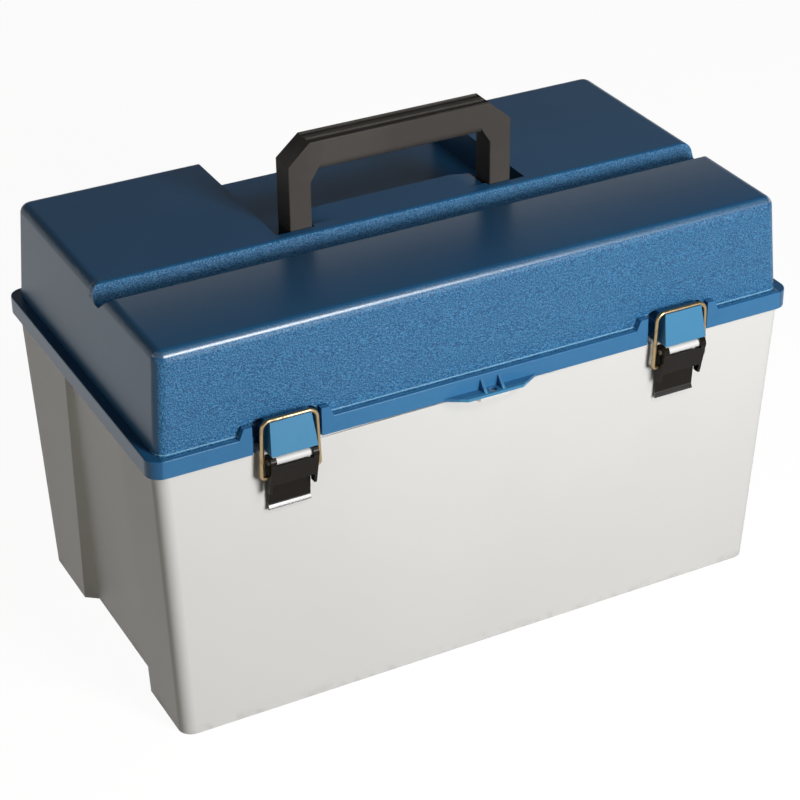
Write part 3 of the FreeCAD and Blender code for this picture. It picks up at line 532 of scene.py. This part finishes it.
def roundedCopy(name, node, width):
    # A copy of a node with its steep edges rounded, as they are on a moulded piece.
    mesh = bmesh.new()
    mesh.from_mesh(frame["nodes"][node].data)
    bmesh.ops.remove_doubles(mesh, verts=mesh.verts, dist=edgeLook["merge"])
    if node == "lid_shell":
        leanCatches(mesh)
    if node.startswith("latch_lever"):
        flattenLip(mesh)
    bmesh.ops.dissolve_limit(
        mesh, angle_limit=math.radians(edgeLook["flat"]), verts=mesh.verts, edges=mesh.edges)
    rounded = set()
    if node == "lid_shell":
        rounded = roundEdges(mesh, lidFootEdges(mesh), edgeLook["lidFoot"])
    rounded |= roundEdges(mesh, steepEdges(mesh, math.radians(edgeLook["steep"]), width), width)
    rounded = {face for face in rounded if face.is_valid}
    share = mesh.verts.layers.float.new("edgeShare")
    for vertex in mesh.verts:
        convex = vertex.link_edges and all(
            edge.is_convex or edge.is_contiguous for edge in vertex.link_edges)
        onRound = all(face in rounded for face in vertex.link_faces)
        vertex[share] = 1.0 if onRound and convex else 0.0
    shape = bpy.data.meshes.new(name)
    mesh.to_mesh(shape)
    mesh.free()
    shape.shade_smooth()
    shape.set_sharp_from_angle(angle=math.radians(edgeLook["sharp"]))
    shape.materials.clear()
    shape.materials.append(finishes[nodeSlot[node]])
    worker = bpy.data.objects.new(name, shape)
    bpy.context.scene.collection.objects.link(worker)
    weighted = worker.modifiers.new("weighted", "WEIGHTED_NORMAL")
    weighted.keep_sharp = True
    placePiece(name, steadyNormals(plainMesh(worker, name)), node)


def widthFor(node):
    return next(width for start, width in edgeLook["widths"].items() if node.startswith(start))


mouldedPieces = {
    "lid_shell": "lidMoulding",
    "base_shell": "baseMoulding",
    "front_cover": "coverMoulding",
    "carry_handle": "carryBow",
    "latch_lever_left": "leverLeft",
    "latch_lever_right": "leverRight",
    "rack_side_left": "rackSideLeft",
    "rack_side_right": "rackSideRight",
    "rack_center": "rackCentre",
    "bulk_bin": "bulkBin",
    "lift_tray": "liftTray",
}
for row in ("lower", "middle", "upper"):
    for side in ("left", "right"):
        mouldedPieces[f"drawer_{row}_{side}"] = f"drawer{row.title()}{side.title()}"

for node, name in mouldedPieces.items():
    roundedCopy(name, node, widthFor(node))
print("moulded pieces rounded:", len(mouldedPieces))


# Geometry Nodes

class Tree:
    # A Geometry Nodes tree with named sizes, which ends in one material.
    def __init__(self, name, sizes, material):
        self.tree = bpy.data.node_groups.new(name, "GeometryNodeTree")
        self.material = material
        face = self.tree.interface
        face.new_socket("Geometry", in_out="INPUT", socket_type="NodeSocketGeometry")
        face.new_socket("Geometry", in_out="OUTPUT", socket_type="NodeSocketGeometry")
        self.keys = {}
        for size, kind in sizes.items():
            self.keys[size] = face.new_socket(size, in_out="INPUT", socket_type=kind).identifier
        self.given = self.tree.nodes.new("NodeGroupInput")

    def add(self, kind, settings=None, values=None):
        node = self.tree.nodes.new(kind)
        for key, value in (settings or {}).items():
            setattr(node, key, value)
        for key, value in (values or {}).items():
            if isinstance(value, bpy.types.NodeSocket):
                self.tree.links.new(value, node.inputs[key])
            else:
                node.inputs[key].default_value = value
        return node.outputs

    def size(self, name):
        return self.given.outputs[name]

    def end(self, geometry):
        real = self.add("GeometryNodeRealizeInstances", {}, {"Geometry": geometry})[0]
        smooth = self.add("GeometryNodeSetShadeSmooth", {}, {"Geometry": real})[0]
        painted = self.add(
            "GeometryNodeSetMaterial", {}, {"Geometry": smooth, "Material": self.material})[0]
        result = self.tree.nodes.new("NodeGroupOutput")
        self.tree.links.new(painted, result.inputs[0])

    def grow(self, name, points, edges, sizes):
        # Runs the tree on bare points and edges, and returns what it makes as a plain mesh.
        seed = bpy.data.meshes.new(name + "Seed")
        seed.from_pydata(points, edges, [])
        worker = bpy.data.objects.new(name, seed)
        bpy.context.scene.collection.objects.link(worker)
        modifier = worker.modifiers.new("grow", "NODES")
        modifier.node_group = self.tree
        for size, value in sizes.items():
            modifier[self.keys[size]] = value
        return plainMesh(worker, name)


# Wire bails

bailLook = {
    "place": 0.1774, "wireRadius": 0.0018, "cornerRadius": 0.0070, "hookRadius": 0.003,
    "footHalfWidth": 0.0246, "topHalfWidth": 0.0230, "endHalfWidth": 0.0172,
    "foot": (-0.1616, 0.2346), "top": (-0.1618, 0.2845), "turnHeight": 0.26,
    "bendSteps": 9, "sides": 20,
}


def bailTree():
    tree = Tree("wireBail", {
        "Wire Radius": "NodeSocketFloat", "Corner Radius": "NodeSocketFloat",
        "Hook Radius": "NodeSocketFloat", "Turn Height": "NodeSocketFloat",
    }, finishes["bail"])
    path = tree.add("GeometryNodeMeshToCurve", {}, {"Mesh": tree.size("Geometry")})[0]
    height = tree.add(
        "ShaderNodeSeparateXYZ", {}, {0: tree.add("GeometryNodeInputPosition")[0]})["Z"]
    high = tree.add(
        "FunctionNodeCompare", {"operation": "GREATER_THAN"},
        {0: height, 1: tree.size("Turn Height")})[0]
    radius = tree.add(
        "GeometryNodeSwitch", {"input_type": "FLOAT"},
        {"Switch": high, "False": tree.size("Hook Radius"), "True": tree.size("Corner Radius")})[0]
    bent = tree.add(
        "GeometryNodeFilletCurve", {"mode": "POLY"},
        {"Curve": path, "Count": bailLook["bendSteps"], "Radius": radius})[0]
    ring = tree.add(
        "GeometryNodeCurvePrimitiveCircle", {},
        {"Resolution": bailLook["sides"], "Radius": tree.size("Wire Radius")})[0]
    wire = tree.add(
        "GeometryNodeCurveToMesh", {}, {"Curve": bent, "Profile Curve": ring, "Fill Caps": True})[0]
    tree.end(wire)
    return tree


def bailPoints(side):
    # The corners of the bent wire, from one hook over the bar to the other hook.
    look = bailLook
    rows = (
        (-look["endHalfWidth"], look["foot"]), (-look["footHalfWidth"], look["foot"]),
        (-look["topHalfWidth"], look["top"]), (look["topHalfWidth"], look["top"]),
        (look["footHalfWidth"], look["foot"]), (look["endHalfWidth"], look["foot"]),
    )
    return [(side * look["place"] + offset, y, z) for offset, (y, z) in rows]


wireBail = bailTree()
for side, word in ((-1, "left"), (1, "right")):
    points = bailPoints(side)
    chain = [(index, index + 1) for index in range(len(points) - 1)]
    mesh = wireBail.grow("wireBail" + word.title(), points, chain, {
        "Wire Radius": bailLook["wireRadius"], "Corner Radius": bailLook["cornerRadius"],
        "Hook Radius": bailLook["hookRadius"], "Turn Height": bailLook["turnHeight"],
    })
    placePiece(mesh.name, mesh, "latch_bail_" + word)
print("wire bails bent")


# Dividers

dividerLook = {
    "thickness": 0.0018, "cornerRadius": 0.006, "cornerSteps": 6, "count": 2, "merge": 0.00001,
}


def dividerTree():
    # A row of upright plates with rounded upper corners.
    tree = Tree("dividerRow", {
        "Count": "NodeSocketInt", "Spacing": "NodeSocketFloat", "Length": "NodeSocketFloat",
        "Height": "NodeSocketFloat", "Thickness": "NodeSocketFloat",
        "Corner Radius": "NodeSocketFloat",
    }, finishes["divider"])
    outline = tree.add(
        "GeometryNodeCurvePrimitiveQuadrilateral", {},
        {"Width": tree.size("Length"), "Height": tree.size("Height")})[0]
    level = tree.add(
        "ShaderNodeSeparateXYZ", {}, {0: tree.add("GeometryNodeInputPosition")[0]})["Y"]
    upper = tree.add("FunctionNodeCompare", {"operation": "GREATER_THAN"}, {0: level, 1: 0.0})[0]
    radius = tree.add(
        "GeometryNodeSwitch", {"input_type": "FLOAT"},
        {"Switch": upper, "False": 0.0, "True": tree.size("Corner Radius")})[0]
    trimmed = tree.add(
        "GeometryNodeFilletCurve", {"mode": "POLY"},
        {"Curve": outline, "Count": dividerLook["cornerSteps"], "Radius": radius})[0]
    sheet = tree.add("GeometryNodeFillCurve", {"mode": "NGONS"}, {"Curve": trimmed})[0]
    raised = tree.add(
        "GeometryNodeExtrudeMesh", {},
        {"Mesh": sheet, "Offset Scale": tree.size("Thickness"), "Individual": False})[0]
    under = tree.add("GeometryNodeFlipFaces", {}, {"Mesh": sheet})[0]
    both = tree.tree.nodes.new("GeometryNodeJoinGeometry")
    tree.tree.links.new(raised, both.inputs[0])
    tree.tree.links.new(under, both.inputs[0])
    plate = tree.add(
        "GeometryNodeMergeByDistance", {},
        {"Geometry": both.outputs[0], "Distance": dividerLook["merge"]})[0]
    step = tree.add("ShaderNodeCombineXYZ", {}, {"X": tree.size("Spacing")})[0]
    row = tree.add("GeometryNodeMeshLine", {}, {"Count": tree.size("Count"), "Offset": step})[0]
    copies = tree.add(
        "GeometryNodeInstanceOnPoints", {},
        {"Points": row, "Instance": plate, "Rotation": (math.pi / 2, 0.0, math.pi / 2)})[0]
    tree.end(copies)
    return tree


def dividerRow(tree, name, node):
    # The plates fill the node's box and are moved to it in the mesh.
    low, high = (Vector(corner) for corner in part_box(node))
    size = high - low
    thickness = dividerLook["thickness"]
    mesh = tree.grow(name, [(0.0, 0.0, 0.0)], [], {
        "Count": dividerLook["count"], "Spacing": size.x - thickness, "Length": size.y,
        "Height": size.z, "Thickness": thickness, "Corner Radius": dividerLook["cornerRadius"],
    })
    box = [Vector(map(pick, *(vertex.co for vertex in mesh.vertices))) for pick in (min, max)]
    shift = low - box[0]
    for vertex in mesh.vertices:
        vertex.co += shift
    mesh.set_sharp_from_angle(angle=math.radians(edgeLook["sharp"]))
    placePiece(name, mesh, node)


plateTree = dividerTree()
dividerNodes = sorted(node for node in nodeBody if "dividers" in node)
for node in dividerNodes:
    name = "".join(word.title() for word in node.split("_"))
    dividerRow(plateTree, name[0].lower() + name[1:], node)
print("divider rows made:", len(dividerNodes))


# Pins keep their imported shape

for node, owner in frame["nodes"].items():
    if nodeSlot[node] == "steel_pin":
        owner.data.materials.clear()
        owner.data.materials.append(finishes["steel_pin"])
print("pins finished")


# Floor, light and camera

stageLook = {
    "floorSize": 12.0, "floorColor": (0.10, 0.10, 0.098), "floorGlow": 0.95, "floorRoughness": 0.9,
    "skyColor": (0.045, 0.043, 0.040), "backdrop": (1.0, 1.0, 1.0), "ceiling": (0.13, 0.13, 0.13),
    "ceilingRise": (0.08, 0.36),
    "lamps": {
        "keyLamp": {
            "place": (0.42, -1.80, 0.78), "aim": (0.05, -0.15, 0.24), "size": (0.7, 0.7),
            "power": 29.2, "color": (1.0, 1.0, 1.0),
        },
        "stripLamp": {
            "place": (0.36, -1.32, 1.54), "aim": (0.0, -0.15, 0.35), "size": (0.75, 0.36),
            "power": 4.8, "color": (1.0, 1.0, 1.0),
        },
        "sideLamp": {
            "place": (-2.2, -0.9, 0.30), "aim": (-0.29, 0.0, 0.18), "size": (0.9, 0.9),
            "power": 3.4, "color": (1.0, 0.89, 0.69),
        },
    },
}


def whitePlace(f):
    # 1 for rays that should meet the white background.
    kinds = [
        f.add("ShaderNodeLightPath", {}, {}, output=kind)
        for kind in ("Is Camera Ray", "Is Glossy Ray", "Is Transmission Ray")
    ]
    return kinds[0] + kinds[1] + kinds[2]


def makeFloor():
    half = stageLook["floorSize"] / 2
    mesh = bpy.data.meshes.new("studioFloor")
    corners = [(-half, -half, 0.0), (half, -half, 0.0), (half, half, 0.0), (-half, half, 0.0)]
    mesh.from_pydata(corners, [], [(0, 1, 2, 3)])
    material, f = newFinish("studioFloor")
    glow = f.blend(whitePlace(f), (0.0, 0.0, 0.0), (stageLook["floorGlow"],) * 3)
    f.surface({
        "Base Color": rgba(stageLook["floorColor"]), "Roughness": stageLook["floorRoughness"],
        "Specular IOR Level": 0.0, "Emission Color": glow, "Emission Strength": 1.0,
    })
    mesh.materials.append(material)
    floor = bpy.data.objects.new("studioFloor", mesh)
    bpy.context.scene.collection.objects.link(floor)


def makeSky():
    # White behind the object and dark overhead, where only the lamps shine.
    world = bpy.data.worlds.new("studioSky")
    bpy.context.scene.world = world
    world.use_nodes = True
    f = Finish(world.node_tree)
    way = f.add("ShaderNodeTexCoord", output="Generated")
    height = f.add("ShaderNodeSeparateXYZ", {}, {0: way}, output="Z")
    above = f.rise(height, *stageLook["ceilingRise"])
    shown = f.blend(above, stageLook["backdrop"], stageLook["ceiling"])
    color = f.blend(whitePlace(f), stageLook["skyColor"], shown)
    sky = f.add("ShaderNodeBackground", {}, {"Color": color, "Strength": 1.0})
    f.add("ShaderNodeOutputWorld", {}, {"Surface": sky})


def makeLamps():
    for name, look in stageLook["lamps"].items():
        lamp = bpy.data.lights.new(name, "AREA")
        lamp.shape = "ELLIPSE"
        lamp.size, lamp.size_y = look["size"]
        lamp.energy = look["power"]
        lamp.color = look["color"]
        holder = bpy.data.objects.new(name, lamp)
        holder.location = look["place"]
        aim = Vector(look["aim"]) - holder.location
        holder.rotation_euler = aim.to_track_quat("-Z", "Y").to_euler()
        bpy.context.scene.collection.objects.link(holder)


cameraLook = {
    "target": (0.00131, 0.0, 0.1634), "azimuth": -27.41, "elevation": 30.61, "roll": -0.6535,
    "distance": 2.0018, "lens": 103.84, "sensor": 36.0,
}


def makeCamera():
    look = cameraLook
    around, up = math.radians(look["azimuth"]), math.radians(look["elevation"])
    back = Vector((math.sin(around) * math.cos(up), -math.cos(around) * math.cos(up), math.sin(up)))
    data = bpy.data.cameras.new("studioCamera")
    data.lens = look["lens"]
    data.sensor_width = look["sensor"]
    camera = bpy.data.objects.new("studioCamera", data)
    camera.location = Vector(look["target"]) + back * look["distance"]
    camera.rotation_mode = "QUATERNION"
    roll = Quaternion((0.0, 0.0, 1.0), math.radians(look["roll"]))
    camera.rotation_quaternion = back.to_track_quat("Z", "Y") @ roll
    bpy.context.scene.collection.objects.link(camera)
    bpy.context.scene.camera = camera


makeFloor()
makeSky()
makeLamps()
makeCamera()
bpy.context.scene.view_settings.view_transform = "Standard"
print("stage, light and camera set")
